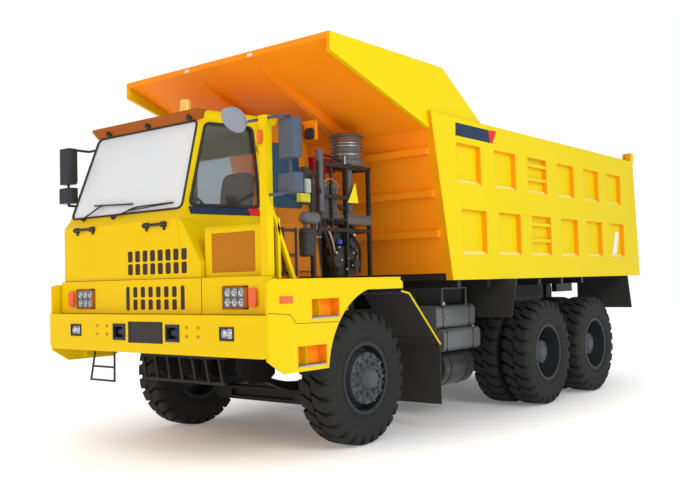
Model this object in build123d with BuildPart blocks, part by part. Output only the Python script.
"""Mining dump truck, all sizes in millimetres.

The frame's origin lies on the ground below the middle of the truck. The front looks
along -Y, the truck's left side is +X and +Z is up. Lengths along the truck are
stations, counted back from the bumper's front face.
"""

import os
from math import atan2, cos, degrees, pi, radians, sin, sqrt

from build123d import *

# Main sizes of the vehicle
overall_length = 8950
cab_front_station = 150
front_axle_station = 1667
rear_axle_stations = (5191, 6724)
deck_height = 1700
deck_thickness = 25
seat_gap = 0.3
pin_clearance = 0.3
running_gap = 6

# Tyres, each a ring with as many sides as lugs
tyre_radius = 685
tyre_width = 370
lug_count = 21
lug_height = 42
lug_width = 165
tread_half_width = 165
shoulder_radius = 632
sidewall_radius = 520
bead_half_width = 150
axle_height = sqrt(tyre_radius**2 - (lug_width / 2) ** 2)

# Rims
rim_radius = 345
rim_half_width = 168
rim_thickness = 14
flange_radius = 372
flange_lean = 6
front_disc_root = 40
front_disc_wall = 25
hub_plate_radius = 262
hub_plate_out = 190
hub_cap_radius = 85
hub_cap_out = 262
rear_disc_wall = 22
rear_disc_radius = 246
rear_cap_radius = 150
rear_cap_out = 320
front_tyre_centre = 1244
outer_tyre_centre = 1562
dual_spacing = 440
dual_middle = outer_tyre_centre - dual_spacing / 2

# Axles and steering
kingpin_offset = 995
kingpin_radius = 38
boss_radius = 70
boss_height = 180
fork_thickness = 58
beam_half_depth = 70
beam_height = 150
beam_bottom = 360
beam_web = 40
spindle_radius = 60
drum_radius = 200
axle_tube_radius = 95
differential_radius = 250
differential_depth = 300

# Frame
rail_centre = 450
rail_width = 90
rail_bottom = 1000
rail_top = 1330
rail_wall = 12
rail_front_station = 320
bed_hinge_station = 7850
bed_hinge_height = 1470
hinge_pin_radius = 45
hinge_lug_wall = 60
cross_member_stations = (420, 1180, 2950, 3850, 6400, 7350)
cross_member_length = 110
cross_member_gap = 40
rail_outer = rail_centre + rail_width / 2
rail_inner = rail_centre - rail_width / 2
rail_rear_station = bed_hinge_station + hinge_pin_radius + hinge_lug_wall

# Springs
spring_offset = 560
spring_width = 100
spring_reach = 700
spring_eye_height = 720
spring_thickness = 100
beam_offset = 590
beam_width = 120

# Front end
bumper_half_width = 1635
bumper_bottom = 1014
bumper_top = 1387
bumper_depth = 300
bumper_wall = 14
bumper_corner = 60
fascia_station = 120
fascia_half_width = 1600
fascia_top = 1730
fascia_depth = 60
fascia_wall = 12
fascia_corner = 50
headlamp_centre = 1140
headlamp_height = 1543
headlamp_size = (330, 210)
fog_lamp_centre = 1145
fog_lamp_height = 1222
fog_lamp_size = (160, 100)
tow_box_centre = 407
tow_box_height = 1215
tow_box_size = (190, 130)
tow_box_depth = 110
tow_pin_radius = 20
lamp_depth = 70
lamp_stand_out = 12
amber_lamp_centre = 1378
amber_lamp_size = (90, 170)

# Cab
cab_right = -1570
cab_left = 650
cab_rear_station = 1800
cab_base = 1731
cab_wall = 50
cowl_height = 2310
window_base = 2430
roof_height = 3410
roof_crown = 35
window_base_station = 270
roof_front_station = 520
screen_base = 2400
screen_base_station = 225
screen_top = 3322
screen_margin = 20
window_corner = 330
roof_inset = 182
slant_end_station = 1700
side_lean_in = 112
flare_height = 1880
flare_rear_station = 640
flare_inner = window_corner - 100
glass_thickness = 10
cab_grille_height = 1900
visor_station = 412
visor_bottom = 3330
visor_lip = 14
visor_x = (-1405, 340)

# Bed
bed_half_width = 1615
bed_wall = 90
canopy_inset = 45
bed_floor = 1650
bed_floor_thickness = 80
bed_front_station = 3070
bed_lean = 150
canopy_front_station = 1014
canopy_clearance = 199
canopy_slope = 0.3195
canopy_lip = 185
canopy_edge = 60
canopy_rise = 550
canopy_back_station = 3030
canopy_foot_station = 3905
front_wall_lean = 341
front_wall_drop = 183
plate_thickness = 40
sill_gap = 5

# Wheel arches and fenders
fender_side = 1635
fender_wall = 25
fender_bottom = 870
fender_front_station = bumper_wall + 1
fender_rear_station = 2040
arch_front_station = 820
arch_top = 1580
deck_half = fender_side - fender_wall - seat_gap

# Hoist
hoist_offset = 150
hoist_foot_station = 6000
hoist_foot_height = 1060
hoist_eye_station = 4400
hoist_eye_height = 1570
hoist_radius = 95
hoist_bore = 62
hoist_rod_radius = 50
hoist_shaft_radius = 32
hoist_head_radius = 58
hoist_head_width = 120
hoist_foot_eye_radius = 78
hoist_foot_eye_width = 150
hoist_rod_inside = 1380
hoist_open_end = 130

# Mirrors and their post
post_x = (1458, 1540)
post_stations = (130, 215)
post_top = 3150
mirror_x = 1690
mirror_station = 285
mirror_arm_radius = 14
left_arm_height = post_top - 25
round_mirror_place = (1165, 110, 3145)
round_mirror_radius = 135
round_mirror_tilt = 40

# Vent box beside the cab
vent_x = (660, 1455)
vent_stations = (200, 640)
vent_top = 2200

# Engine tower beside and behind the cab
tower_plane = (810, 850)
tower_inner = 470
tower_bar = 40
tower_post_station = 1655
tower_middle_station = 2120
tower_rear_station = 2570
tower_low_top = 2250
tower_top = 2960
rail_plane = (1200, 1240)
rail_stations = (710, 1130)
rail_height = 2185
exhaust_x = 610
exhaust_station = 1875
exhaust_radius = 65
exhaust_height = 450
exhaust_bend = 90
cleaner_x = 700
cleaner_station = 2330
cleaner_height = 375
cleaner_cap_radius = 200


def y_at(station):
    """Place along the row axis of a station."""
    return station - overall_length / 2


def box_at(x_range, station_range, z_range):
    """Plain solid box between two corners, its length given by stations."""
    size = (x_range[1] - x_range[0], station_range[1] - station_range[0], z_range[1] - z_range[0])
    with BuildPart(Plane((x_range[0], y_at(station_range[0]), z_range[0]))) as block:
        Box(*size, align=(Align.MIN, Align.MIN, Align.MIN))
    return block.part


def mirrored_box(side, x_range, station_range, z_range):
    """Box on one side of the truck, its x range counted outward from the middle."""
    return box_at(sorted((side * x_range[0], side * x_range[1])), station_range, z_range)


def side_profile(points, x_start, width):
    """Plate cut to a side view outline of (station, height), width along +X."""
    with BuildPart() as plate:
        with BuildSketch(Plane((x_start, 0, 0), x_dir=(0, 1, 0), z_dir=(1, 0, 0))):
            with BuildLine():
                Polyline(*[(y_at(station), height) for station, height in points], close=True)
            make_face()
        extrude(amount=width)
    return plate.part


def front_profile(points, station, depth):
    """Plate cut to a front view outline of (x, height), its depth running back."""
    with BuildPart() as plate:
        with BuildSketch(Plane((0, y_at(station), 0), x_dir=(1, 0, 0), z_dir=(0, -1, 0))):
            with BuildLine():
                Polyline(*points, close=True)
            make_face()
        extrude(amount=-depth)
    return plate.part


def front_plane(station):
    """Upright plane across the truck, seen from the front."""
    return Plane((0, y_at(station), 0), x_dir=(1, 0, 0), z_dir=(0, -1, 0))


def tube(points, radius):
    """Round bar through a list of (x, station, height), with ball corners."""
    places = [Vector(x, y_at(station), height) for x, station, height in points]
    with BuildPart() as bar:
        for start, end in zip(places, places[1:]):
            with BuildSketch(Plane(start, z_dir=(end - start).normalized())):
                Circle(radius)
            extrude(amount=(end - start).length)
        for corner in places[1:-1]:
            with Locations(corner):
                Sphere(radius)
    return bar.part


def save(builder, name):
    """Label one finished piece and write it."""
    builder.part.label = name
    export_step(builder.part, f"parts/{name}.step")


os.makedirs("parts", exist_ok=True)


# Wheels
bead_radius = (rim_radius + seat_gap) / cos(pi / lug_count)
flange_base = bead_half_width + seat_gap


def tyre_outline(x, radius):
    """Outline of the tyre across its axle, with one side for each lug."""
    with BuildSketch(Plane((x, 0, 0), x_dir=(0, 1, 0), z_dir=(1, 0, 0)), mode=Mode.PRIVATE) as outline:
        RegularPolygon(radius, lug_count)
    return outline.sketch


with BuildPart() as tyre_ring:
    with BuildSketch(Plane.YZ):
        RegularPolygon(tyre_radius - lug_height, lug_count)
        with PolarLocations(axle_height - lug_height, lug_count, start_angle=-90):
            Rectangle(2 * lug_height, lug_width)
    extrude(amount=tread_half_width, both=True)
    for side in (1, -1):
        shoulder = tyre_outline(side * tread_half_width, shoulder_radius)
        sidewall = tyre_outline(side * tyre_width / 2, sidewall_radius)
        loft([shoulder, sidewall], ruled=True)
    for side in (1, -1):
        sidewall = tyre_outline(side * tyre_width / 2, sidewall_radius)
        bead = tyre_outline(side * bead_half_width, bead_radius)
        loft([sidewall, bead], ruled=True, mode=Mode.SUBTRACT)
    with BuildSketch(Plane.YZ):
        RegularPolygon(bead_radius, lug_count)
    extrude(amount=bead_half_width, both=True, mode=Mode.SUBTRACT)


def tyre(centre_x, station):
    """The tyre set on one wheel, its axis along X."""
    return Pos(centre_x, y_at(station), axle_height) * tyre_ring.part


def rim(outline, centre_x, station, side):
    """Turned rim. The outline runs over (distance outward, radius)."""
    with BuildPart() as turned:
        with BuildSketch(Plane.XZ):
            with BuildLine():
                Polyline(*[(side * out, radius) for out, radius in outline], close=True)
            make_face()
        revolve(axis=Axis.X)
    return Pos(centre_x, y_at(station), axle_height) * turned.part


rim_inner = rim_radius - rim_thickness
disc_back = hub_plate_out - front_disc_wall
front_rim_outline = (
    (-rim_half_width, rim_inner),
    (-rim_half_width, flange_radius),
    (-flange_base - flange_lean, flange_radius),
    (-flange_base, rim_radius),
    (flange_base, rim_radius),
    (flange_base + flange_lean, flange_radius),
    (rim_half_width, flange_radius),
    (rim_half_width, rim_inner),
    (front_disc_root, rim_inner),
    (front_disc_root, hub_plate_radius),
    (hub_plate_out - 15, hub_plate_radius),
    (hub_plate_out, hub_plate_radius - 15),
    (hub_plate_out, hub_cap_radius + 10),
    (hub_cap_out - 15, hub_cap_radius),
    (hub_cap_out, hub_cap_radius - 25),
    (hub_cap_out, 0),
    (disc_back, 0),
    (disc_back, hub_plate_radius - front_disc_wall),
    (front_disc_root - front_disc_wall, hub_plate_radius - front_disc_wall),
    (front_disc_root - front_disc_wall, rim_inner),
)

# One rim of a pair, from the plane where the two discs meet
dual_half = dual_spacing / 2
dual_outline = (
    (0, rear_disc_radius),
    (dual_half - rim_half_width, rim_inner),
    (dual_half - rim_half_width, flange_radius),
    (dual_half - flange_base - flange_lean, flange_radius),
    (dual_half - flange_base, rim_radius),
    (dual_half + flange_base, rim_radius),
    (dual_half + flange_base + flange_lean, flange_radius),
    (dual_half + rim_half_width, flange_radius),
    (dual_half + rim_half_width, rim_inner),
    (dual_half - rim_half_width + rear_disc_wall, rim_inner),
    (rear_disc_wall, rear_disc_radius - rear_disc_wall / 2),
)
rear_cap_outline = (
    (rear_disc_wall, rear_cap_radius + 30),
    (rear_cap_out - 20, rear_cap_radius),
    (rear_cap_out, rear_cap_radius - 25),
    (rear_cap_out, 0),
)

for side, name in ((1, "left"), (-1, "right")):
    with BuildPart() as front_tyre:
        add(tyre(side * front_tyre_centre, front_axle_station))
    save(front_tyre, f"front_tyre_{name}")

    with BuildPart() as front_rim:
        add(rim(front_rim_outline, side * front_tyre_centre, front_axle_station, side))
    save(front_rim, f"front_rim_{name}")

    for row, station in enumerate(rear_axle_stations, 1):
        with BuildPart() as rear_tyres:
            add(tyre(side * outer_tyre_centre, station))
            add(tyre(side * (outer_tyre_centre - dual_spacing), station))
        save(rear_tyres, f"rear_tyres_{name}_{row}")

        with BuildPart() as rear_rims:
            add(rim(dual_outline + rear_cap_outline + ((0, 0),), side * dual_middle, station, side))
            add(rim(dual_outline + ((rear_disc_wall, 0), (0, 0)), side * dual_middle, station, -side))
        save(rear_rims, f"rear_rims_{name}_{row}")

# Front axle: forged beam, dropped between the kingpins, hollowed to an I section
with BuildPart() as front_axle:
    beam_top = beam_bottom + beam_height
    add(front_profile(
        [
            (-kingpin_offset + boss_radius / 2, axle_height - boss_radius),
            (-kingpin_offset + boss_radius + 15, axle_height - boss_radius),
            (-700, beam_bottom),
            (700, beam_bottom),
            (kingpin_offset - boss_radius - 15, axle_height - boss_radius),
            (kingpin_offset - boss_radius / 2, axle_height - boss_radius),
            (kingpin_offset - boss_radius / 2, axle_height + boss_radius),
            (680, beam_top),
            (-680, beam_top),
            (-kingpin_offset + boss_radius / 2, axle_height + boss_radius),
        ],
        front_axle_station - beam_half_depth,
        2 * beam_half_depth,
    ))
    for side in (1, -1):
        add(
            box_at(
                (-480, 480),
                sorted((
                    front_axle_station + side * beam_web / 2,
                    front_axle_station + side * (beam_half_depth + 1),
                )),
                (beam_bottom + beam_web, beam_top - beam_web),
            ),
            mode=Mode.SUBTRACT,
        )
        with Locations((side * kingpin_offset, y_at(front_axle_station), axle_height)):
            Cylinder(boss_radius, boss_height)
            Cylinder(kingpin_radius, boss_height + 2 * fork_thickness + 20)
save(front_axle, "front_axle")

# Steering knuckles: a fork round the axle end, brake drum and spindle
fork_level = boss_height / 2 + running_gap + fork_thickness / 2
spindle_start = kingpin_offset + boss_radius + 60
spindle_end = front_tyre_centre + disc_back - seat_gap
for side, name in ((1, "left"), (-1, "right")):
    with BuildPart() as knuckle:
        for level in (-fork_level, fork_level):
            with Locations((side * kingpin_offset, y_at(front_axle_station), axle_height + level)):
                Cylinder(boss_radius, fork_thickness)
            add(mirrored_box(
                side,
                (kingpin_offset, spindle_start),
                (front_axle_station - boss_radius, front_axle_station + boss_radius),
                (axle_height + level - fork_thickness / 2, axle_height + level + fork_thickness / 2),
            ))
            with Locations((side * kingpin_offset, y_at(front_axle_station), axle_height + level)):
                Cylinder(kingpin_radius + pin_clearance, fork_thickness + 2, mode=Mode.SUBTRACT)
        add(mirrored_box(
            side,
            (kingpin_offset + boss_radius + 10, spindle_start),
            (front_axle_station - 90, front_axle_station + 90),
            (axle_height - 150, axle_height + 150),
        ))
        # Drum and spindle, from (start, end, radius) along the axle
        for start, end, radius in (
            (spindle_start, front_tyre_centre + 90, drum_radius),
            (spindle_start, spindle_end, spindle_radius),
        ):
            with Locations((side * (start + end) / 2, y_at(front_axle_station), axle_height)):
                Cylinder(radius, end - start, rotation=(0, 90, 0))
    save(knuckle, f"knuckle_{name}")

# Rear axles: housing tube, differential and a brake drum inside each wheel pair
axle_end = dual_middle - rear_disc_wall - seat_gap
with BuildPart() as rear_axles:
    for station in rear_axle_stations:
        with Locations((0, y_at(station), axle_height)):
            Cylinder(axle_tube_radius, 2 * axle_end, rotation=(0, 90, 0))
            Cylinder(differential_radius, differential_depth, rotation=(90, 0, 0))
        for side in (1, -1):
            with Locations((side * (axle_end - 150), y_at(station), axle_height)):
                Cylinder(drum_radius, 180, rotation=(0, 90, 0))
save(rear_axles, "rear_axles")

# Frame: channel rails open inward, cross members and the bed's hinge lugs
with BuildPart() as frame:
    for side in (1, -1):
        add(mirrored_box(
            side, (rail_inner, rail_outer), (rail_front_station, rail_rear_station), (rail_bottom, rail_top)
        ))
        lug_plane = Plane((side * rail_centre - rail_width / 2, 0, 0), x_dir=(0, 1, 0), z_dir=(1, 0, 0))
        with BuildSketch(lug_plane):
            with Locations((y_at(bed_hinge_station), bed_hinge_height)):
                Circle(hinge_pin_radius + hinge_lug_wall)
            with Locations((y_at(bed_hinge_station), rail_top - rail_wall)):
                Rectangle(
                    2 * (hinge_pin_radius + hinge_lug_wall),
                    bed_hinge_height - rail_top + rail_wall,
                    align=(Align.CENTER, Align.MIN),
                )
            with Locations((y_at(bed_hinge_station), bed_hinge_height)):
                Circle(hinge_pin_radius + pin_clearance, mode=Mode.SUBTRACT)
        extrude(amount=rail_width)
        add(
            mirrored_box(
                side,
                (rail_inner, rail_outer - rail_wall),
                (rail_front_station, rail_rear_station),
                (rail_bottom + rail_wall, rail_top - rail_wall),
            ),
            mode=Mode.SUBTRACT,
        )
    for station in cross_member_stations:
        add(box_at(
            (-rail_outer + rail_wall / 2, rail_outer - rail_wall / 2),
            (station - cross_member_length / 2, station + cross_member_length / 2),
            (rail_bottom + cross_member_gap, rail_top - cross_member_gap),
        ))
    with Locations((0, y_at(hoist_foot_station), hoist_foot_height)):
        Cylinder(hoist_shaft_radius, 2 * rail_outer - rail_wall, rotation=(0, 90, 0))
save(frame, "frame")

# Suspension: leaf packs on the front axle, rocker beams over the rear axles
bogie_station = sum(rear_axle_stations) / 2
rocker_seat = axle_height + axle_tube_radius + seat_gap
with BuildPart() as suspension:
    for side in (1, -1):
        with BuildSketch(Plane(
            (side * spring_offset - spring_width / 2, 0, 0), x_dir=(0, 1, 0), z_dir=(1, 0, 0)
        )):
            with BuildLine():
                front_end = y_at(front_axle_station - spring_reach)
                rear_end = y_at(front_axle_station + spring_reach)
                middle = y_at(front_axle_station)
                ThreePointArc(
                    (front_end, spring_eye_height),
                    (middle, beam_top + seat_gap),
                    (rear_end, spring_eye_height),
                )
                Line((rear_end, spring_eye_height), (rear_end, spring_eye_height + 30))
                ThreePointArc(
                    (rear_end, spring_eye_height + 30),
                    (middle, beam_top + spring_thickness),
                    (front_end, spring_eye_height + 30),
                )
                Line((front_end, spring_eye_height + 30), (front_end, spring_eye_height))
            make_face()
        extrude(amount=spring_width)
        for end in (-1, 1):
            hanger = front_axle_station + end * spring_reach
            add(mirrored_box(
                side,
                (rail_outer + seat_gap, spring_offset + spring_width / 2),
                (hanger - 60, hanger + 60),
                (spring_eye_height - 40, rail_bottom + 120),
            ))
        add(side_profile(
            [
                (rear_axle_stations[0] - 60, rocker_seat),
                (rear_axle_stations[1] + 60, rocker_seat),
                (rear_axle_stations[1] + 60, rocker_seat + 95),
                (bogie_station + 180, rail_top - 60),
                (bogie_station - 180, rail_top - 60),
                (rear_axle_stations[0] - 60, rocker_seat + 95),
            ],
            side * beam_offset - beam_width / 2,
            beam_width,
        ))
        add(mirrored_box(
            side,
            (rail_outer + seat_gap, beam_offset),
            (bogie_station - 110, bogie_station + 110),
            (rail_bottom + 60, rail_top - 60),
        ))
save(suspension, "suspension")

# Engine, one block between the rails, its feet in the rails' channels
with BuildPart() as engine:
    add(box_at((-340, 340), (1280, 2850), (880, 1660)))
    mount_end = rail_outer - rail_wall - seat_gap
    for station in (1500, 2600):
        add(box_at(
            (-mount_end, mount_end), (station - 60, station + 60), (rail_bottom + 60, rail_bottom + 140)
        ))
save(engine, "engine_block")


# Bumper: front plate with folded flanges, on brackets from the rails
def front_openings(centre, height, size, gap):
    """Left and right rectangles for what is set into a front plate."""
    with BuildSketch(mode=Mode.PRIVATE) as openings:
        with Locations((centre, height), (-centre, height)):
            RectangleRounded(size[0] - 2 * gap, size[1] - 2 * gap, 15)
    return openings.sketch


flange_half = deck_half
with BuildPart() as bumper:
    with BuildSketch(front_plane(0)) as bumper_face:
        with Locations((0, (bumper_bottom + bumper_top) / 2)):
            Rectangle(2 * bumper_half_width, bumper_top - bumper_bottom)
        fillet(bumper_face.vertices().group_by(Axis.Y)[0], bumper_corner)
        add(front_openings(fog_lamp_centre, fog_lamp_height, fog_lamp_size, 0), mode=Mode.SUBTRACT)
        add(front_openings(tow_box_centre, tow_box_height, tow_box_size, 0), mode=Mode.SUBTRACT)
    extrude(amount=-bumper_wall)
    for level in (bumper_bottom, bumper_top - bumper_wall):
        add(box_at((-flange_half, flange_half), (bumper_wall, bumper_depth), (level, level + bumper_wall)))
    for side in (1, -1):
        add(mirrored_box(
            side,
            (rail_outer - 8, rail_outer),
            (tow_box_depth + 5, rail_front_station - seat_gap),
            (bumper_bottom, bumper_top - bumper_wall),
        ))
        add(mirrored_box(
            side,
            (rail_inner, rail_outer),
            (rail_front_station - 20 - seat_gap, rail_front_station - seat_gap),
            (bumper_bottom, bumper_top - bumper_wall),
        ))
save(bumper, "bumper")

# Towing boxes: open boxes set into the bumper, an upright pin in each
with BuildPart() as tow_boxes:
    with BuildSketch(front_plane(0)):
        add(front_openings(tow_box_centre, tow_box_height, tow_box_size, seat_gap))
    extrude(amount=-tow_box_depth)
    with BuildSketch(front_plane(0)):
        add(front_openings(tow_box_centre, tow_box_height, tow_box_size, 12))
    extrude(amount=-tow_box_depth + 12, mode=Mode.SUBTRACT)
    with Locations(
        (tow_box_centre, y_at(tow_box_depth / 2), tow_box_height),
        (-tow_box_centre, y_at(tow_box_depth / 2), tow_box_height),
    ):
        Cylinder(tow_pin_radius, tow_box_size[1] - 12)
save(tow_boxes, "tow_boxes")

# Fascia band, hollow behind, with the lower grille between tall rounded slots
grille_pitch = 120
grille_columns = 6
cab_grille_pitch = 118
cab_grille_columns = 8
with BuildPart() as fascia:
    with BuildSketch(front_plane(fascia_station)) as fascia_face:
        with Locations((0, (bumper_top + fascia_top) / 2)):
            Rectangle(2 * fascia_half_width, fascia_top - bumper_top - 2 * seat_gap)
        fillet(fascia_face.vertices().group_by(Axis.Y)[-1], fascia_corner)
    extrude(amount=-fascia_depth)
    with BuildSketch(front_plane(fascia_station + fascia_wall)) as fascia_hollow:
        with Locations((0, (bumper_top + fascia_top) / 2)):
            Rectangle(2 * (fascia_half_width - fascia_wall), fascia_top - bumper_top - 2 * fascia_wall)
    extrude(amount=-fascia_depth, mode=Mode.SUBTRACT)
    with BuildSketch(front_plane(fascia_station)):
        add(front_openings(headlamp_centre, headlamp_height, headlamp_size, 0))
        with Locations((0, headlamp_height)):
            with GridLocations(grille_pitch, 125, grille_columns, 2):
                RectangleRounded(70, 105, 20)
            with GridLocations(grille_pitch * (grille_columns + 1), 0, 2, 1):
                RectangleRounded(60, 245, 28)
    extrude(amount=-fascia_wall, mode=Mode.SUBTRACT)
save(fascia, "fascia")

# Lamps set into the fascia and the bumper
with BuildPart() as lamps:
    with BuildSketch(front_plane(fascia_station - lamp_stand_out)):
        add(front_openings(headlamp_centre, headlamp_height, headlamp_size, seat_gap))
    extrude(amount=-lamp_depth)
    with BuildSketch(front_plane(1)):
        add(front_openings(fog_lamp_centre, fog_lamp_height, fog_lamp_size, seat_gap))
    extrude(amount=-lamp_depth)
save(lamps, "lamps")

# Amber lamps on the fascia, and the beacon on the roof
with BuildPart() as amber_lamps:
    with BuildSketch(front_plane(fascia_station - seat_gap)):
        with Locations((amber_lamp_centre, headlamp_height), (-amber_lamp_centre, headlamp_height)):
            RectangleRounded(*amber_lamp_size, 30)
    extrude(amount=30)
    with BuildSketch(Plane.XY.offset(roof_height + roof_crown + seat_gap)):
        with Locations((-107, y_at(650))):
            Circle(62)
    extrude(amount=160, taper=4)
save(amber_lamps, "amber_lamps")

# Deck over the frame, with feet under the cab and legs to the bumper
with BuildPart() as deck:
    deck_bottom = deck_height - deck_thickness
    deck_front = fascia_station + fascia_depth + seat_gap
    add(box_at((-deck_half, deck_half), (deck_front, 1000), (deck_bottom, deck_height)))
    for side in (1, -1):
        # Panels past the engine, from (inner x, outer x, front station, rear station)
        for inner_x, outer_x, front, rear in (
            (420, deck_half, 1000, fender_rear_station),
            (420, 900, fender_rear_station, 2620),
        ):
            add(mirrored_box(side, (inner_x, outer_x), (front, rear), (deck_bottom, deck_height)))
        add(mirrored_box(
            side,
            (rail_outer + seat_gap, deck_half),
            (bumper_depth + seat_gap, bumper_depth + 60),
            (bumper_bottom + 30, deck_bottom),
        ))
        add(mirrored_box(side, (rail_inner, rail_outer), (1150, 1250), (rail_top + seat_gap, deck_bottom)))
        add(mirrored_box(side, (rail_inner, rail_outer), (2450, 2550), (rail_top + seat_gap, deck_bottom)))
    for x, station in ((-1300, 400), (-300, 400), (-1300, 1650), (480, 1650)):
        add(box_at((x, x + 100), (station, station + 100), (deck_height, cab_base - seat_gap)))
save(deck, "deck")

# Fenders: side plate with the wheel arch and two step pockets
pocket_depth = 110
pocket_wall = 6
step_pockets = (
    # front station, rear station, bottom, top
    (590, 995, 1325, 1518),
    (390, 820 - 20, 900, 1100),
)
with BuildPart() as fenders:
    for side in (1, -1):
        with BuildSketch(Plane(
            (side * (fender_side - fender_wall / 2) - fender_wall / 2, 0, 0), x_dir=(0, 1, 0), z_dir=(1, 0, 0)
        )):
            with BuildLine():
                outline = [
                    (fender_front_station, deck_height - 20),
                    (fender_front_station, 995),
                    (217, fender_bottom),
                    (arch_front_station, fender_bottom),
                ]
                Polyline(*[(y_at(station), height) for station, height in outline])
                ThreePointArc(
                    (y_at(arch_front_station), fender_bottom),
                    (y_at(1000), 1305),
                    (y_at(1440), arch_top),
                )
                outline = [
                    (1440, arch_top),
                    (fender_rear_station, arch_top),
                    (fender_rear_station, deck_height - 50),
                    (fender_rear_station - 110, deck_height - seat_gap),
                    (fender_front_station + 60, deck_height - seat_gap),
                    (fender_front_station, deck_height - 20),
                ]
                Polyline(*[(y_at(station), height) for station, height in outline])
            make_face()
        extrude(amount=fender_wall)
        for front, rear, bottom, top in step_pockets:
            pocket_inner = fender_side - pocket_depth
            add(mirrored_box(side, (pocket_inner, fender_side), (front, rear), (bottom, top)))
            add(
                mirrored_box(
                    side,
                    (pocket_inner + pocket_wall, fender_side + 1),
                    (front + pocket_wall, rear - pocket_wall),
                    (bottom + pocket_wall, top - pocket_wall),
                ),
                mode=Mode.SUBTRACT,
            )
            divider = front + (rear - front) / 3
            add(mirrored_box(
                side, (pocket_inner, fender_side - 20), (divider, divider + pocket_wall), (bottom, top)
            ))
save(fenders, "fenders")

# Dark mudguards behind the front wheels, guard plates ahead of the rear wheels
guard_station = 4330
with BuildPart() as mudguards:
    for side in (1, -1):
        add(side_profile(
            [
                (2050, 1555), (2200, 1525), (2780, 950), (2780, 290),
                (2768, 290), (2768, 945), (2192, 1513), (2050, 1543),
            ],
            side * 1300 - 300,
            600,
        ))
        add(mirrored_box(side, (rail_outer + seat_gap, 1500), (2680, 2720), (1010, 1060)))
        add(front_profile(
            [(side * x, height) for x, height in (
                (960, 1640), (1740, 1640), (1665, 1170), (960, 1170),
            )],
            guard_station,
            12,
        ))
        add(mirrored_box(
            side, (rail_outer + seat_gap, 1500), (guard_station + 12, guard_station + 52), (1240, 1300)
        ))
save(mudguards, "mudguards")


# Cab: right wall leaning in above the cowl, left wall one plane that slants out to the rear
window_height = roof_height - window_base
screen_height = roof_height - screen_base
slant_rise = (cab_left - window_corner) / (slant_end_station - window_base_station)
slant_angle = degrees(atan2(slant_end_station - window_base_station, cab_left - window_corner))
side_lean = degrees(atan2(side_lean_in * sin(radians(slant_angle)), window_height))


def left_wall_x(station, height):
    """Where the left wall's outer face lies."""
    slanted = min(station, slant_end_station) - window_base_station
    return window_corner + slanted * slant_rise - side_lean_in * (height - window_base) / window_height


def right_wall_x(height):
    """Where the right wall's outer face lies."""
    return cab_right + roof_inset * max(0, height - screen_base) / screen_height


def screen_station(height):
    """Front face of the cab above the cowl."""
    rake = (roof_front_station - screen_base_station) / screen_height
    return screen_base_station + rake * (height - screen_base)


def cab_ring(front_station, height, inset):
    """Plan of the cab at one height, drawn in by the wall where inset is given."""
    front = front_station + inset
    rear = cab_rear_station - inset
    points = (
        (right_wall_x(height) + inset, front),
        (left_wall_x(front, height) - inset, front),
        (left_wall_x(slant_end_station, height) - inset, slant_end_station),
        (left_wall_x(slant_end_station, height) - inset, rear),
        (right_wall_x(height) + inset, rear),
    )
    with BuildSketch(Plane.XY.offset(height), mode=Mode.PRIVATE) as ring:
        with BuildLine():
            Polyline(*[(x, y_at(station)) for x, station in points], close=True)
        make_face()
    return ring.sketch


def cab_volume(inset):
    """Cab's outer form, or its inner form where inset is the wall."""
    levels = (
        # front station, height
        (cab_front_station, cab_base + inset),
        (cab_front_station, cowl_height),
        (screen_base_station, screen_base),
        (roof_front_station, roof_height - inset),
    )
    rings = [cab_ring(station, height, inset) for station, height in levels]
    with BuildPart() as volume:
        for lower, upper in zip(rings, rings[1:]):
            loft([lower, upper], ruled=True)
    return volume.part


windshield_tilt = degrees(atan2(roof_front_station - screen_base_station, screen_height))
windshield_plane = Plane(
    (0, y_at(screen_base_station), screen_base),
    x_dir=(1, 0, 0),
    z_dir=(0, -cos(radians(windshield_tilt)), sin(radians(windshield_tilt))),
)
right_lean = degrees(atan2(roof_inset, screen_height))
right_plane = Plane(
    (cab_right, 0, screen_base),
    x_dir=(0, 1, 0),
    z_dir=(cos(radians(right_lean)), 0, -sin(radians(right_lean))),
)


def windshield_outline(gap):
    """Pane outline in the windshield's plane, between the cab's front corners."""
    low = screen_base + screen_margin + gap
    high = screen_top - gap
    inset = screen_margin + gap
    corners = (
        (right_wall_x(low) + inset, low),
        (left_wall_x(screen_station(low), low) - inset, low),
        (left_wall_x(screen_station(high), high) - inset, high),
        (right_wall_x(high) + inset, high),
    )
    slope = cos(radians(windshield_tilt))
    with BuildSketch(mode=Mode.PRIVATE) as outline:
        with BuildLine():
            Polyline(*[(x, (height - screen_base) / slope) for x, height in corners], close=True)
        make_face()
        fillet(outline.vertices(), 60 - gap)
    return outline.sketch


side_direction = Vector(cos(radians(slant_angle)), sin(radians(slant_angle)), 0)
side_normal = Vector(
    sin(radians(slant_angle)) * cos(radians(side_lean)),
    -cos(radians(slant_angle)) * cos(radians(side_lean)),
    sin(radians(side_lean)),
)
side_plane = Plane(
    (window_corner, y_at(window_base_station), window_base),
    x_dir=side_direction,
    z_dir=side_normal,
)


def side_opening(start, end, bottom, top, radius, lean=0):
    """Outline on the left wall. Lengths run back from its front corner, heights from the
    ground."""
    slope = cos(radians(side_lean))
    low = (bottom - window_base) / slope
    high = (top - window_base) / slope
    with BuildSketch(mode=Mode.PRIVATE) as outline:
        with BuildLine():
            Polyline((start, low), (end, low), (end, high), (start + lean, high), close=True)
        make_face()
        if radius:
            fillet(outline.vertices(), radius)
    return outline.sketch


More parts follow.
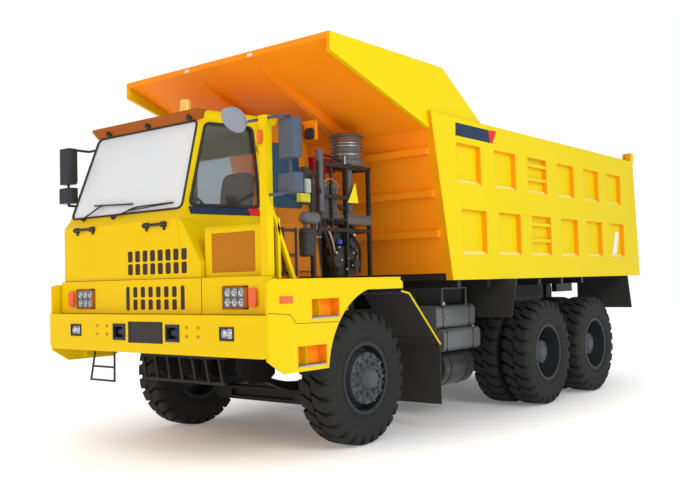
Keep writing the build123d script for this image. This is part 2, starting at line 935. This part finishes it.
# Door and window sizes along the left wall
window_start = 30
window_end = 850
window_top = 3300
window_sill = 2450
window_lean = 265
door_start = 925
door_end = 1435
door_bottom = 1800
door_top = 3310
door_lap = 18
door_gap = 5
door_thickness = 34
door_glass_start = 985
door_glass_end = 1375
door_glass_top = 3150
right_window = (560, 1650, 2470, 3210)
right_window_lean = 200
window_cut = 80
rear_window_centre = (-480, 2850)
rear_window_size = (1500, 640)
hinge_radius = 14
hinge_heights = (2050, 3050)
hinge_length = 60


def right_window_outline(gap):
    """Right side window in its leaning wall, its front edge raked like the windshield."""
    front, rear, bottom, top = right_window
    low = (bottom + gap - screen_base) / cos(radians(right_lean))
    high = (top - gap - screen_base) / cos(radians(right_lean))
    with BuildSketch(mode=Mode.PRIVATE) as outline:
        with BuildLine():
            Polyline(
                (y_at(front + gap), low),
                (y_at(rear - gap), low),
                (y_at(rear - gap), high),
                (y_at(front + right_window_lean + gap), high),
                close=True,
            )
        make_face()
        fillet(outline.vertices(), 50 - gap)
    return outline.sketch


def hinge_eye(height, length):
    """Round hinge eye on the door's pivot line, its lower end at the given height."""
    slope = cos(radians(side_lean))
    base = side_plane.from_local_coords(
        (door_start - door_lap - 2, (height - window_base) / slope, door_gap + door_thickness / 2)
    )
    with BuildPart(Plane(base, x_dir=side_direction, z_dir=side_plane.y_dir)) as eye:
        Cylinder(hinge_radius, length, align=(Align.CENTER, Align.CENTER, Align.MIN))
    return eye.part


flare_levels = (
    # height, outer x, front station, rear station
    (cab_base, cab_left, cab_front_station, flare_rear_station),
    (flare_height, cab_left, cab_front_station, flare_rear_station),
    (cowl_height, flare_inner + 130, cab_front_station + 10, cab_front_station + 200),
)
with BuildPart() as cab:
    add(cab_volume(0))
    rings = []
    for height, outer_x, front, rear in flare_levels:
        with BuildSketch(Plane.XY.offset(height), mode=Mode.PRIVATE) as ring:
            with BuildLine():
                Polyline(
                    (flare_inner, y_at(front)),
                    (outer_x, y_at(front)),
                    (outer_x, y_at(rear)),
                    (flare_inner, y_at(rear)),
                    close=True,
                )
            make_face()
        rings.append(ring.sketch)
    for lower, upper in zip(rings, rings[1:]):
        loft([lower, upper], ruled=True)
    add(cab_volume(cab_wall), mode=Mode.SUBTRACT)
    roof = cab_ring(roof_front_station + 25, roof_height, 25)
    extrude(roof, amount=roof_crown, taper=35)
    with BuildSketch(windshield_plane):
        add(windshield_outline(0))
    extrude(amount=window_cut, both=True, mode=Mode.SUBTRACT)
    with BuildSketch(side_plane):
        add(side_opening(window_start, window_end, window_sill, window_top, 60, window_lean))
        add(side_opening(door_start, door_end, door_bottom, door_top, 0))
    extrude(amount=window_cut, both=True, mode=Mode.SUBTRACT)
    with BuildSketch(right_plane):
        add(right_window_outline(0))
    extrude(amount=window_cut, both=True, mode=Mode.SUBTRACT)
    with BuildSketch(front_plane(cab_rear_station)):
        with Locations(rear_window_centre):
            RectangleRounded(*rear_window_size, 60)
    extrude(amount=90, both=True, mode=Mode.SUBTRACT)
    with BuildSketch(front_plane(cab_front_station)):
        with Locations((0, cab_grille_height)):
            with GridLocations(cab_grille_pitch, 130, cab_grille_columns, 2):
                RectangleRounded(80, 112, 20)
    extrude(amount=-cab_wall + 15, mode=Mode.SUBTRACT)
    for height in hinge_heights:
        add(hinge_eye(height, hinge_length))
        with BuildSketch(side_plane):
            with Locations((
                door_start - door_lap - 28,
                (height + hinge_length / 2 - window_base) / cos(radians(side_lean)),
            )):
                Rectangle(40, hinge_length)
        extrude(amount=door_gap + door_thickness / 2 + 6)
save(cab, "cab_shell")

with BuildPart() as cab_glass:
    with BuildSketch(windshield_plane.offset(-20)):
        add(windshield_outline(seat_gap))
    extrude(amount=glass_thickness)
    with BuildSketch(right_plane.offset(20)):
        add(right_window_outline(seat_gap))
    extrude(amount=glass_thickness)
    with BuildSketch(front_plane(cab_rear_station - 30)):
        with Locations(rear_window_centre):
            width, height = rear_window_size
            RectangleRounded(width - 2 * seat_gap, height - 2 * seat_gap, 60 - seat_gap)
    extrude(amount=glass_thickness)
    with BuildSketch(side_plane.offset(-30)):
        add(side_opening(
            window_start + seat_gap,
            window_end - seat_gap,
            window_sill + seat_gap,
            window_top - seat_gap,
            60 - seat_gap,
            window_lean,
        ))
    extrude(amount=glass_thickness)
save(cab_glass, "cab_glass")

# Door, lapped over its opening, with its own window
with BuildPart() as door:
    with BuildSketch(side_plane.offset(door_gap)):
        add(side_opening(
            door_start - door_lap, door_end + door_lap, door_bottom - door_lap, door_top + door_lap, 0
        ))
        add(
            side_opening(door_glass_start, door_glass_end, window_sill, door_glass_top, 50),
            mode=Mode.SUBTRACT,
        )
    extrude(amount=door_thickness)
    for height in hinge_heights:
        with BuildSketch(side_plane.offset(-1)):
            with Locations((
                door_start - door_lap,
                (height + hinge_length / 2 - window_base) / cos(radians(side_lean)),
            )):
                Rectangle(60, 3 * hinge_length + 4)
        extrude(amount=door_thickness + 60, mode=Mode.SUBTRACT)
        for step in (-1, 1):
            base = height + step * (hinge_length + seat_gap) * cos(radians(side_lean))
            add(hinge_eye(base, hinge_length))
            with BuildSketch(side_plane.offset(door_gap + 10)):
                with Locations((
                    door_start + 10,
                    (base + hinge_length / 2 - window_base) / cos(radians(side_lean)),
                )):
                    Rectangle(60, hinge_length - 2)
            extrude(amount=14)
save(door, "door")

with BuildPart() as door_glass:
    with BuildSketch(side_plane.offset(door_gap + 12)):
        add(side_opening(
            door_glass_start + seat_gap,
            door_glass_end - seat_gap,
            window_sill + seat_gap,
            door_glass_top - seat_gap,
            50 - seat_gap,
        ))
    extrude(amount=glass_thickness)
save(door_glass, "door_glass")

# Visor: hood seated on the roof's front edge, its underside rising forward
with BuildPart() as visor:
    visor_seat = roof_height + seat_gap
    add(side_profile(
        [
            (visor_station, visor_seat - visor_lip),
            (visor_station, visor_seat + visor_lip),
            (roof_front_station + 22, visor_seat + visor_lip),
            (roof_front_station + 22, visor_seat),
            (roof_front_station - seat_gap, visor_seat),
            (screen_station(visor_bottom) - seat_gap, visor_bottom),
            (screen_station(visor_bottom) - visor_lip, visor_bottom),
        ],
        visor_x[0],
        visor_x[1] - visor_x[0],
    ))
save(visor, "visor")

# Bed
bed_rear_station = overall_length
roof_top = roof_height + roof_crown
canopy_floor = roof_top + canopy_clearance + canopy_slope * (cab_rear_station - canopy_front_station)
canopy_top = canopy_floor + canopy_lip
bed_top = canopy_top - canopy_rise
floor_top = bed_floor + bed_floor_thickness
inner_half = bed_half_width - bed_wall
wall_top_station = bed_front_station - front_wall_lean
wall_top_height = bed_top - front_wall_drop
wall_slope = front_wall_lean / (wall_top_height - bed_floor)
gate_gap = 8
gate_wall = 60


def front_wall_station(height):
    """Front face of the bed's front wall, which leans forward as it rises."""
    return bed_front_station - wall_slope * (height - bed_floor)


liner_thickness = 10
gate_inner = bed_rear_station - gate_wall
with BuildPart() as bed_floor_piece:
    add(box_at((-inner_half, inner_half), (bed_front_station, gate_inner - gate_gap), (bed_floor, floor_top)))
    add(box_at(
        (-inner_half + 60, inner_half - 60),
        (bed_front_station + 100, gate_inner - bed_lean - 60),
        (floor_top, floor_top + liner_thickness),
    ))
    for side in (1, -1):
        # Sills ahead of the hinge and behind it, from (front, rear, bottom)
        for front, rear, bottom in (
            (bed_front_station + 60, bed_hinge_station - 200, rail_top + sill_gap),
            (bed_hinge_station + 300, bed_hinge_station + 910, bed_hinge_height - 60),
        ):
            add(mirrored_box(side, (rail_inner, rail_outer), (front, rear), (bottom, bed_floor)))
        eye_low = side * (rail_inner - 60) - 50
        add(box_at(
            (eye_low, eye_low + 100),
            (bed_hinge_station - 100, bed_hinge_station + 100),
            (bed_hinge_height, bed_floor),
        ))
        with BuildSketch(Plane((eye_low, 0, 0), x_dir=(0, 1, 0), z_dir=(1, 0, 0))):
            with Locations((y_at(bed_hinge_station), bed_hinge_height)):
                Circle(hinge_pin_radius + 50)
        extrude(amount=100)
        for face in (-1, 1):
            plate = side * hoist_offset + face * (hoist_head_width / 2 + running_gap + 10)
            add(box_at(
                (plate - 10, plate + 10),
                (hoist_eye_station - 90, hoist_eye_station + 90),
                (hoist_eye_height - 60, bed_floor),
            ))
    with Locations((0, y_at(bed_hinge_station), bed_hinge_height)):
        Cylinder(hinge_pin_radius, 2 * rail_outer, rotation=(0, 90, 0))
    # Cross bearers under the floor
    for bearer in range(6):
        station = bed_front_station + 300 + 700 * bearer
        for side in (1, -1):
            add(mirrored_box(
                side, (rail_outer, inner_half - 40), (station, station + 80), (bed_floor - 90, bed_floor)
            ))
save(bed_floor_piece, "bed_floor")

# Bed sides: recessed panels in two rows, foothold ledges in the third column
panel_depth = 62
panel_count = 6
panel_rows = (
    # first station, pitch, width, bottom, top
    (3220, 890, 550, 2770, 3240),
    (3300, 886, 570, 1940, 2470),
)
foothold_column = 2
gate_hinge_station = bed_rear_station - bed_lean - 10
gate_hinge_height = bed_top + 95
gate_pin_radius = 25
lug_half = 55
with BuildPart() as bed_sides:
    for side in (1, -1):
        low_x = side * (bed_half_width - bed_wall / 2) - bed_wall / 2
        add(side_profile(
            [
                (bed_front_station, bed_floor),
                (bed_rear_station, bed_floor),
                (bed_rear_station - bed_lean, bed_top),
                (front_wall_station(bed_top), bed_top),
            ],
            low_x,
            bed_wall,
        ))
        add(side_profile(
            [
                (wall_top_station, wall_top_height),
                (bed_front_station, bed_floor),
                (canopy_foot_station, bed_floor),
                (canopy_foot_station, bed_top),
                (canopy_back_station, canopy_top),
                (canopy_front_station, canopy_top),
                (canopy_front_station, canopy_floor),
            ],
            side * (bed_half_width - (bed_wall + canopy_inset) / 2) - (bed_wall - canopy_inset) / 2,
            bed_wall - canopy_inset,
        ))
        panel_plane = Plane((side * bed_half_width, 0, 0), x_dir=(0, 1, 0), z_dir=(1, 0, 0))
        for first, pitch, width, bottom, top in panel_rows:
            for column in range(panel_count):
                front = y_at(first + pitch * column)
                with BuildSketch(panel_plane, mode=Mode.PRIVATE) as mouth:
                    with Locations((front, bottom)):
                        Rectangle(width, top - bottom, align=(Align.MIN, Align.MIN))
                with BuildSketch(panel_plane.offset(-side * panel_depth), mode=Mode.PRIVATE) as back:
                    with Locations((front + 12, bottom + 55)):
                        Rectangle(width - 24, top - bottom - 65, align=(Align.MIN, Align.MIN))
                loft([mouth.sketch, back.sketch], ruled=True, mode=Mode.SUBTRACT)
                if column == foothold_column:
                    for share in (0.35, 0.75):
                        ledge = bottom + share * (top - bottom)
                        station = first + pitch * column
                        add(mirrored_box(
                            side,
                            (bed_half_width - panel_depth - 5, bed_half_width - 8),
                            (station + 5, station + width - 5),
                            (ledge, ledge + 45),
                        ))
        # Hinge lug for the tailgate at the top rear corner, with its pin
        lug = (
            (gate_hinge_station - lug_half - 30, bed_top - 20),
            (gate_hinge_station + lug_half, bed_top - 20),
            (gate_hinge_station + lug_half, gate_hinge_height + 45),
            (gate_hinge_station - lug_half, gate_hinge_height + 45),
        )
        add(side_profile(lug, low_x, bed_wall))
        with Locations((side * (inner_half - 15), y_at(gate_hinge_station), gate_hinge_height)):
            Cylinder(gate_pin_radius, 70, rotation=(0, 90, 0))
save(bed_sides, "bed_sides")

# Front wall with the canopy that reaches over the cab, ribbed outside
rib_width = 80
rib_depth = 60
wall_rib_heights = (2180, 2630, 3100)
canopy_rib_offset = 490
with BuildPart() as bed_front:
    add(side_profile(
        [
            (canopy_front_station, canopy_top - canopy_edge),
            (wall_top_station, wall_top_height),
            (front_wall_station(floor_top), floor_top),
            (front_wall_station(floor_top) + plate_thickness, floor_top),
            (wall_top_station + plate_thickness, wall_top_height + plate_thickness),
            (canopy_front_station + plate_thickness, canopy_top - canopy_edge + plate_thickness / 2),
            (canopy_front_station + plate_thickness, canopy_top),
            (canopy_front_station, canopy_top),
        ],
        -inner_half,
        2 * inner_half,
    ))
    for height in wall_rib_heights:
        low = front_wall_station(height - rib_width / 2)
        high = front_wall_station(height + rib_width / 2)
        add(side_profile(
            [
                (low + 5, height - rib_width / 2),
                (low - rib_depth, height - rib_width / 2),
                (high - rib_depth, height + rib_width / 2),
                (high + 5, height + rib_width / 2),
            ],
            -inner_half,
            2 * inner_half,
        ))
    for side in (1, -1):
        add(side_profile(
            [
                (canopy_front_station + 60, canopy_top - canopy_edge - 10),
                (wall_top_station + 20, wall_top_height - 10),
                (wall_top_station + 20, wall_top_height - 110),
                (wall_top_station - 400, wall_top_height + 20),
            ],
            side * canopy_rib_offset - rib_width / 2,
            rib_width,
        ))
save(bed_front, "bed_front")

# Tailgate, hung by its ears from the pins at the top rear corners
gate_half = inner_half - gate_gap
with BuildPart() as tailgate:
    add(side_profile(
        [
            (gate_inner, bed_floor + 10),
            (bed_rear_station - 4, bed_floor + 10),
            (bed_rear_station - 4 - bed_lean, bed_top),
            (gate_inner - bed_lean, bed_top),
        ],
        -gate_half,
        2 * gate_half,
    ))
    for side in (1, -1):
        with BuildSketch(Plane((side * (gate_half - 22) - 22, 0, 0), x_dir=(0, 1, 0), z_dir=(1, 0, 0))):
            with Locations((y_at(gate_hinge_station), gate_hinge_height)):
                Circle(gate_pin_radius + 25)
            with Locations((y_at(gate_hinge_station), bed_top - 20)):
                Rectangle(
                    2 * (gate_pin_radius + 25),
                    gate_hinge_height - bed_top + 20,
                    align=(Align.CENTER, Align.MIN),
                )
            with Locations((y_at(gate_hinge_station), gate_hinge_height)):
                Circle(gate_pin_radius + pin_clearance, mode=Mode.SUBTRACT)
        extrude(amount=44)
    for height in (2000, 2450, 2900, 3350):
        rear = bed_rear_station - 4 - bed_lean * (height - bed_floor) / (bed_top - bed_floor)
        add(box_at((-gate_half, gate_half), (rear - 30, rear + 3), (height - 50, height + 50)))
save(tailgate, "tailgate")

# Flaps hung under the bed's rear, behind the last wheels
with BuildPart() as bed_flaps:
    for side in (1, -1):
        add(front_profile(
            [(side * x, height) for x, height in (
                (750, bed_floor - seat_gap),
                (bed_half_width - 5, bed_floor - seat_gap),
                (1660, 1140),
                (750, 1140),
            )],
            8400,
            12,
        ))
save(bed_flaps, "bed_flaps")

# Hoist: a pair of cylinders between the rails
hoist_foot = Vector(0, y_at(hoist_foot_station), hoist_foot_height)
hoist_eye = Vector(0, y_at(hoist_eye_station), hoist_eye_height)
hoist_length = (hoist_eye - hoist_foot).length
hoist_axis = (hoist_eye - hoist_foot).normalized()
gland_length = 60

with BuildPart() as barrels:
    for x in (-hoist_offset, hoist_offset):
        start = Vector(x, hoist_foot.Y, hoist_foot.Z)
        barrel_length = hoist_length - hoist_open_end
        with BuildSketch(Plane(start, z_dir=hoist_axis)):
            Circle(hoist_radius)
        extrude(amount=barrel_length)
        with Locations(start):
            Cylinder(hoist_foot_eye_radius, hoist_foot_eye_width, rotation=(0, 90, 0))
        # Bore and the narrower gland at its mouth, from (start, end, radius)
        for bore_start, bore_end, radius in (
            (hoist_open_end, barrel_length - gland_length, hoist_bore),
            (barrel_length - gland_length - 1, barrel_length + 1, hoist_rod_radius + pin_clearance),
        ):
            with BuildSketch(Plane(start + hoist_axis * bore_start, z_dir=hoist_axis)):
                Circle(radius)
            extrude(amount=bore_end - bore_start, mode=Mode.SUBTRACT)
        with Locations(start):
            Cylinder(
                hoist_shaft_radius + pin_clearance,
                hoist_foot_eye_width + 50,
                rotation=(0, 90, 0),
                mode=Mode.SUBTRACT,
            )
save(barrels, "hoist_barrels")

with BuildPart() as rods:
    for x in (-hoist_offset, hoist_offset):
        end = Vector(x, hoist_eye.Y, hoist_eye.Z)
        # Rod and its piston, from (length, radius) at the inner end
        for length, radius in ((hoist_rod_inside, hoist_rod_radius), (60, hoist_bore - pin_clearance)):
            with BuildSketch(Plane(end - hoist_axis * hoist_rod_inside, z_dir=hoist_axis)):
                Circle(radius)
            extrude(amount=length)
        with Locations(end):
            Cylinder(hoist_head_radius, hoist_head_width, rotation=(0, 90, 0))
save(rods, "hoist_rods")

# Vent box beside the cab, a louvred panel facing forward
with BuildPart() as vent_box:
    add(box_at(vent_x, vent_stations, (deck_height + seat_gap, vent_top)))
    add(box_at((750, 1320), (vent_stations[0] - 1, vent_stations[0] + 25), (1775, 2140)), mode=Mode.SUBTRACT)
    for slat in range(9):
        low = 1790 + 38 * slat
        add(box_at((745, 1325), (vent_stations[0] + 8, vent_stations[0] + 30), (low, low + 20)))
save(vent_box, "vent_box")

# Mirror post at the left front corner with its stay
with BuildPart() as post:
    add(box_at(post_x, post_stations, (fascia_top + seat_gap, post_top)))
    add(side_profile(
        [
            (post_stations[1] - 5, 2400),
            (post_stations[1] - 5, 2330),
            (480, deck_height + seat_gap),
            (525, deck_height + seat_gap),
        ],
        1480,
        40,
    ))
save(post, "mirror_post")

# Mirrors on bent tubes: two at each front corner and a round one before the cab
right_arm_station = roof_front_station + 40
with BuildPart() as mirrors:
    # Heads, from (x, height, width, depth, head height)
    for x, height, width, depth, head_height in (
        (mirror_x, 2935, 200, 120, 350),
        (mirror_x, 2540, 230, 120, 170),
        (-mirror_x, 3030, 200, 120, 400),
        (-mirror_x, 2700, 230, 120, 170),
    ):
        with BuildSketch(Plane.XY.offset(height - head_height / 2)):
            with Locations((x, y_at(mirror_station))):
                RectangleRounded(width, depth, 35)
        extrude(amount=head_height)
    post_out = post_x[1] + seat_gap
    post_in = post_x[0] - seat_gap
    arm_station = sum(post_stations) / 2
    for route in (
        (
            (post_out, arm_station, left_arm_height),
            (mirror_x, arm_station, left_arm_height),
            (mirror_x, mirror_station, left_arm_height + 15),
            (mirror_x, mirror_station, 2500),
        ),
        ((post_out, arm_station, 2440), (mirror_x, arm_station, 2440), (mirror_x, mirror_station, 2480)),
        ((post_in, arm_station, left_arm_height), (round_mirror_place[0], arm_station, left_arm_height)),
    ):
        add(tube(route, mirror_arm_radius))
    for height in (3230, 2590):
        wall = right_wall_x(height - mirror_arm_radius) - seat_gap
        add(tube(
            (
                (wall, right_arm_station, height),
                (-mirror_x, right_arm_station, height),
                (-mirror_x, mirror_station, height),
            ),
            mirror_arm_radius,
        ))
    add(tube(((-mirror_x, mirror_station, 3235), (-mirror_x, mirror_station, 2585)), mirror_arm_radius))
    x, station, height = round_mirror_place
    facing = (0, -cos(radians(round_mirror_tilt)), -sin(radians(round_mirror_tilt)))
    with BuildSketch(Plane((x, y_at(station), height), x_dir=(1, 0, 0), z_dir=facing)):
        Circle(round_mirror_radius)
    extrude(amount=-45, taper=20)
save(mirrors, "mirrors")

# Engine tower: side frame with a hanging front post, and a handrail by the door
post_foot = deck_height + seat_gap
with BuildPart() as tower:
    # Side frame posts, from (station, foot, top)
    for station, foot, top in (
        (tower_post_station, tower_low_top - tower_bar, tower_top),
        (tower_middle_station, post_foot, tower_top),
        (tower_rear_station - tower_bar, post_foot, tower_top),
    ):
        add(box_at(tower_plane, (station, station + tower_bar), (foot, top)))
    # Side frame bars, from (rear, height)
    for rear, height in (
        (tower_rear_station, tower_low_top - tower_bar),
        (tower_rear_station, tower_top - tower_bar),
        (tower_middle_station + tower_bar, 2570),
    ):
        add(box_at(tower_plane, (tower_post_station, rear), (height, height + tower_bar)))
    for station in (tower_middle_station, tower_rear_station - tower_bar):
        bar_stations = (station, station + tower_bar)
        add(box_at((tower_inner, tower_inner + tower_bar), bar_stations, (post_foot, tower_top)))
        for height in (tower_low_top - tower_bar, tower_top - tower_bar):
            add(box_at((tower_inner, tower_plane[1]), bar_stations, (height, height + tower_bar)))
    for station in (rail_stations[0], rail_stations[1] - tower_bar):
        add(box_at(rail_plane, (station, station + tower_bar), (post_foot, rail_height)))
    for height in (rail_height - tower_bar, (post_foot + rail_height) / 2):
        add(box_at(rail_plane, rail_stations, (height, height + tower_bar)))
save(tower, "tower_frame")

# Ribbed cooler in the tower's side and the tray behind it
with BuildPart() as cooler:
    cooler_x = (tower_plane[0] - 110, tower_plane[0] - seat_gap)
    add(box_at(cooler_x, (1730, 2010), (2350, 2730)))
    for rib in range(8):
        station = 1745 + 33 * rib
        slot = box_at((cooler_x[0] + 20, cooler_x[1] + 1), (station, station + 14), (2380, 2700))
        add(slot, mode=Mode.SUBTRACT)
    add(box_at((cooler_x[0] + 30, cooler_x[1]), (2010, 2120), (2360, 2400)))
    add(box_at((tower_inner + 60, tower_plane[0] - seat_gap), (2110, 2520), (2300, 2400)))
save(cooler, "cooler")

# Exhaust pipe behind the cab, bent back at its top
with BuildPart() as exhaust:
    with BuildSketch(Plane.XY.offset(post_foot)):
        with Locations((exhaust_x, y_at(exhaust_station))):
            Circle(exhaust_radius)
    extrude(amount=exhaust_height)
    bend_start = Plane((exhaust_x, y_at(exhaust_station), post_foot + exhaust_height))
    with BuildSketch(bend_start):
        Circle(exhaust_radius)
    bend_centre = (exhaust_x, y_at(exhaust_station + exhaust_bend), post_foot + exhaust_height)
    revolve(axis=Axis(bend_centre, (-1, 0, 0)), revolution_arc=90)
save(exhaust, "exhaust")

# Air precleaner: ribbed drum with a wide cap, on the tower
cleaner_bottom = tower_top + seat_gap
cleaner_outline = (
    # radius, height above its foot
    (0, 0),
    (175, 0),
    (190, 20),
    (190, 60),
    (172, 75),
    (172, 115),
    (188, 125),
    (188, 150),
    (172, 160),
    (172, 215),
    (188, 225),
    (188, 245),
    (176, 255),
    (182, 330),
    (cleaner_cap_radius, 338),
    (cleaner_cap_radius, 350),
    (150, cleaner_height),
    (0, cleaner_height),
)
with BuildPart() as cleaner:
    with BuildSketch(Plane.XZ):
        with BuildLine():
            Polyline(*cleaner_outline, close=True)
        make_face()
    revolve(axis=Axis.Z)
cleaner.part = Pos(cleaner_x, y_at(cleaner_station), cleaner_bottom) * cleaner.part
save(cleaner, "precleaner")

# Tanks beside the frame: three on the left, one large tank on the right
with BuildPart() as tanks:
    # Rounded boxes, from (x, x, front, rear, bottom, top, corner)
    for x_low, x_high, front, rear, bottom, top, corner in (
        (760, 1230, 3290, 4180, 1070, 1350, 60),
        (760, 1280, 3370, 4210, 800, 1069, 60),
        (-1350, -700, 3000, 4150, 560, 1180, 90),
    ):
        with BuildSketch(front_plane(front)):
            with Locations(((x_low + x_high) / 2, (bottom + top) / 2)):
                RectangleRounded(x_high - x_low, top - bottom, corner)
        extrude(amount=-(rear - front))
    with BuildSketch(front_plane(3420)):
        with Locations((1030, 600)):
            Circle(225)
    extrude(amount=-670)
    for station in (3450, 4000):
        for side, reach in ((1, 800), (-1, 750)):
            add(mirrored_box(
                side,
                (rail_outer + seat_gap, reach),
                (station, station + 60),
                (rail_bottom + 40, rail_bottom + 160),
            ))
        add(box_at((820, 860), (station, station + 60), (700, 1100)))
        add(box_at((1195, 1215), (station, station + 20), (1340, 1560)))
    add(box_at((1195, 1215), (3450, 4020), (1545, 1560)))
save(tanks, "tanks")

# Guard and entry ladder below the bumper
with BuildPart() as guard:
    for level in (680, 930):
        add(box_at((-640, 600), (480, 500), (level, level + 30)))
    for column in range(7):
        x = -620 + 195 * column
        add(front_profile([(x, 690), (x + 30, 690), (x - 30, 950), (x - 60, 950)], 480, 20))
    for side in (1, -1):
        add(box_at(
            sorted((side * rail_inner, side * rail_outer)), (480, 520), (930, rail_bottom - seat_gap)
        ))
save(guard, "radiator_guard")

ladder_station = 112
ladder_bar = 11
with BuildPart() as ladder:
    # Legs and rungs, from (x, height) to (x, height)
    for start, end in (
        ((-1052, 690), (-972, 1005)),
        ((-647, 690), (-642, 1005)),
        ((-1052, 700), (-647, 700)),
        ((-1015, 840), (-645, 840)),
    ):
        add(tube([(x, ladder_station, height) for x, height in (start, end)], ladder_bar))
    for x in (-972, -642):
        add(box_at(
            (x - 25, x + 25), (ladder_station - 20, ladder_station + 20), (1000, bumper_bottom - seat_gap)
        ))
save(ladder, "front_ladder")

# Cab fittings
with BuildPart() as seat:
    add(box_at((-560, -60), (950, 1450), (1980, 2150)))
    add(side_profile([(1430, 2100), (1560, 2100), (1660, 2950), (1560, 2950)], -560, 500))
    add(box_at((-460, -160), (1050, 1350), (cab_base + cab_wall + seat_gap, 1990)))
save(seat, "seat")

with BuildPart() as dash:
    add(side_profile(
        [
            (300, cab_base + cab_wall + seat_gap),
            (620, cab_base + cab_wall + seat_gap),
            (620, 2300),
            (560, 2440),
            (350, 2400),
            (300, 2250),
        ],
        cab_right + cab_wall + 60,
        1700,
    ))
    wheel_plane = Plane((-310, y_at(800), 2560), x_dir=(1, 0, 0), z_dir=(0, 0.45, 0.89))
    with BuildSketch(wheel_plane):
        Circle(25)
    extrude(amount=-420)
    with BuildSketch(wheel_plane):
        Circle(215)
        Circle(185, mode=Mode.SUBTRACT)
        Rectangle(385, 34)
        Circle(45)
    extrude(amount=20)
save(dash, "dashboard")
